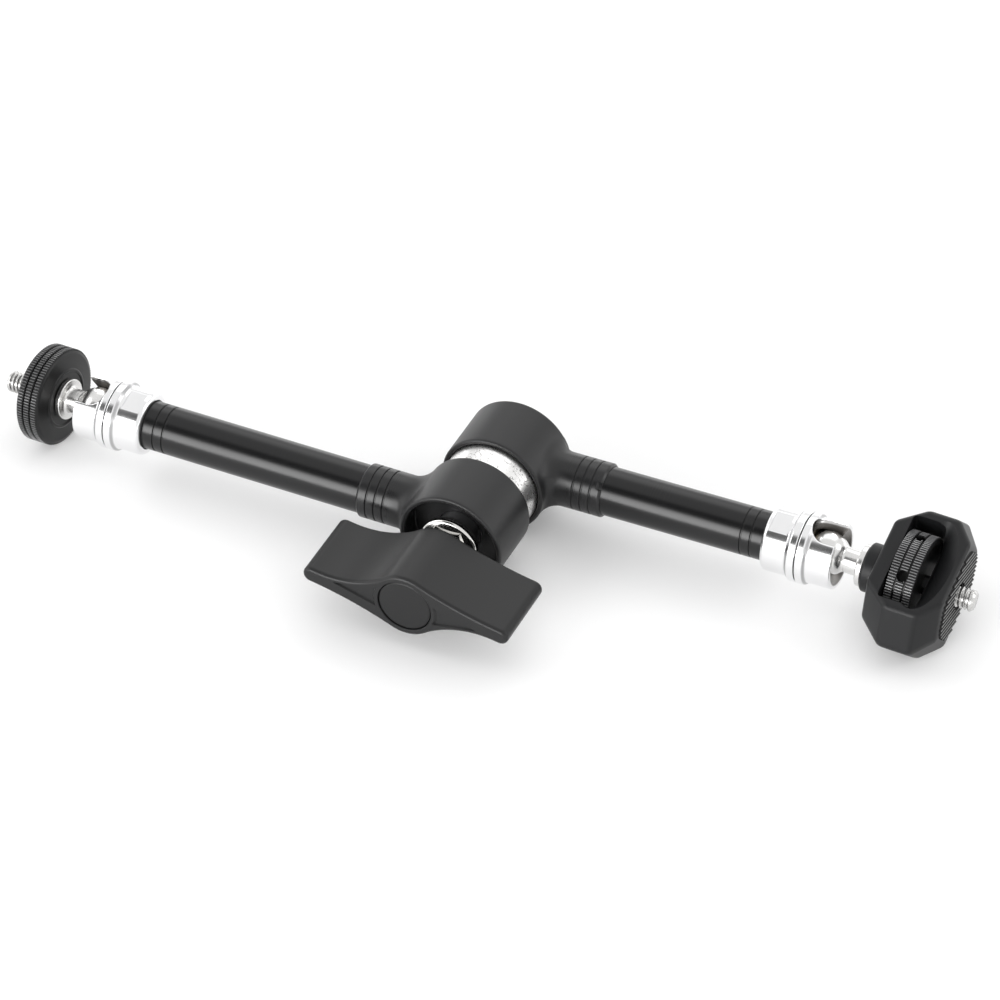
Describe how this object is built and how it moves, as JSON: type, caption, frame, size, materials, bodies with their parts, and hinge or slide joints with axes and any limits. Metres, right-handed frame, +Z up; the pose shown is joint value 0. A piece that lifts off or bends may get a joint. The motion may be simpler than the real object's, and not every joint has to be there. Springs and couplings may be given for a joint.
{
  "type": "articulating friction arm",
  "caption": "Articulating friction arm: tubes join at an elbow that a wing knob clamps, with slotted ball ends, a knurled thumb wheel on a screw, and a mount block with its own screw and wheel.",
  "frame": {"origin": "centre of the bounding box's bottom face, on the table the arm lies on", "axes": "+X along the arms, towards the mount block; +Y along the elbow axis, away from the wing knob; +Z up"},
  "size_m": [0.2864, 0.0894, 0.0316],
  "materials": {
    "black_castings": "cast, black powder coat",
    "black_tube": "satin black anodised",
    "polished": "polished",
    "ring": "turned, worn by scratches",
    "steel": "turned stainless",
    "inner_steel": "oiled",
    "spring": "wire",
    "seat": "turned",
    "knob": "cast, black powder coat",
    "wheel": "black anodised, knurled",
    "rubber": "matt"
  },
  "bodies": {
    "front_arm": {"front_housing": "black_castings", "front_tube": "black_tube", "front_adapter": "polished", "front_snap_ring": "inner_steel"},
    "clamp": {"thrust_washer": "steel", "front_wedge": "inner_steel", "spreader_spring": "spring"},
    "knob": {"knob": "knob", "knob_cap": "knob", "knob_nut": "steel"},
    "rear_arm": {"rear_housing": "black_castings", "friction_ring": "ring", "rear_tube": "black_tube", "rear_adapter": "polished", "rear_snap_ring": "inner_steel"},
    "bolt": {"tie_bolt": "inner_steel", "rear_wedge": "inner_steel"},
    "front_rod": {"front_push_rod": "inner_steel", "front_ball_seat": "seat"},
    "rear_rod": {"rear_push_rod": "inner_steel", "rear_ball_seat": "seat"},
    "front_cup": {"front_cup": "polished"},
    "front_stud": {"front_ball_stud": "steel"},
    "pad": {"wheel_pad": "rubber"},
    "thumb_wheel": {"thumb_wheel": "wheel"},
    "rear_cup": {"rear_cup": "polished"},
    "rear_stud": {"rear_ball_stud": "steel"},
    "mount": {"mount_block": "black_castings", "mount_pad": "rubber", "stud_ring": "inner_steel"},
    "mount_screw": {"mount_wheel": "wheel", "mount_screw": "steel"}
  },
  "joints": [
    {"name": "elbow", "type": "hinge", "parent": "front_arm", "child": "rear_arm", "pos_m": [0.00313, -0.00448, 0.0155], "axis": [0, 1, 0], "range_deg": [-140, 140]},
    {"name": "clamp_slide", "type": "slide", "parent": "front_arm", "child": "clamp", "axis": [0, 1, 0], "range_m": [0, 0.0009376]},
    {"name": "knob_turn", "type": "hinge", "parent": "clamp", "child": "knob", "pos_m": [0.00313, -0.00448, 0.0155], "axis": [0, 1, 0], "range_deg": [0, 540]},
    {"name": "bolt_slide", "type": "slide", "parent": "rear_arm", "child": "bolt", "axis": [0, -1, 0], "range_m": [0, 0.0009376]},
    {"name": "front_rod_slide", "type": "slide", "parent": "front_arm", "child": "front_rod", "axis": [-1, 0, 0], "range_m": [0, 0.00034132]},
    {"name": "rear_rod_slide", "type": "slide", "parent": "rear_arm", "child": "rear_rod", "axis": [0.9999, 0, 0.014], "range_m": [0, 0.00034132]},
    {"name": "front_cup_turn", "type": "hinge", "parent": "front_arm", "child": "front_cup", "pos_m": [-0.11267, -0.00448, 0.0155], "axis": [-1, 0, 0], "continuous": true},
    {"name": "front_ball_tilt", "type": "hinge", "parent": "front_cup", "child": "front_stud", "pos_m": [-0.11267, -0.00448, 0.0155], "axis": [0, 0.9744, 0.225], "range_deg": [-23, 89]},
    {"name": "wheel_travel", "type": "slide", "parent": "front_stud", "child": "pad", "axis": [-0.9941, 0.087, -0.0647], "range_m": [0, 0.00508]},
    {"name": "wheel_turn", "type": "hinge", "parent": "pad", "child": "thumb_wheel", "pos_m": [-0.11267, -0.00448, 0.0155], "axis": [-0.9941, 0.087, -0.0647], "range_deg": [0, 1440]},
    {"name": "rear_cup_turn", "type": "hinge", "parent": "rear_arm", "child": "rear_cup", "pos_m": [0.09972, 0.02312, 0.01685], "axis": [0.9999, 0, 0.014], "continuous": true},
    {"name": "rear_ball_tilt", "type": "hinge", "parent": "rear_cup", "child": "rear_stud", "pos_m": [0.09972, 0.02312, 0.01685], "axis": [0.0005, -0.9994, -0.0349], "range_deg": [-25, 87]},
    {"name": "mount_swivel", "type": "hinge", "parent": "rear_stud", "child": "mount", "pos_m": [0.09972, 0.02312, 0.01685], "axis": [0.9993, 0, -0.038], "continuous": true},
    {"name": "mount_screw_turn", "type": "hinge", "parent": "mount", "child": "mount_screw", "pos_m": [0.09972, 0.02312, 0.01685], "axis": [0.9993, 0, -0.038], "continuous": true}
  ],
  "couplings": [
    {"joint": "clamp_slide", "follows": "knob_turn", "m_per_rad": 0.000099472},
    {"joint": "bolt_slide", "follows": "knob_turn", "m_per_rad": 0.000099472},
    {"joint": "front_rod_slide", "follows": "knob_turn", "m_per_rad": 0.000036205},
    {"joint": "rear_rod_slide", "follows": "knob_turn", "m_per_rad": 0.000036205},
    {"joint": "wheel_travel", "follows": "wheel_turn", "m_per_rad": 0.00020213}
  ]
}
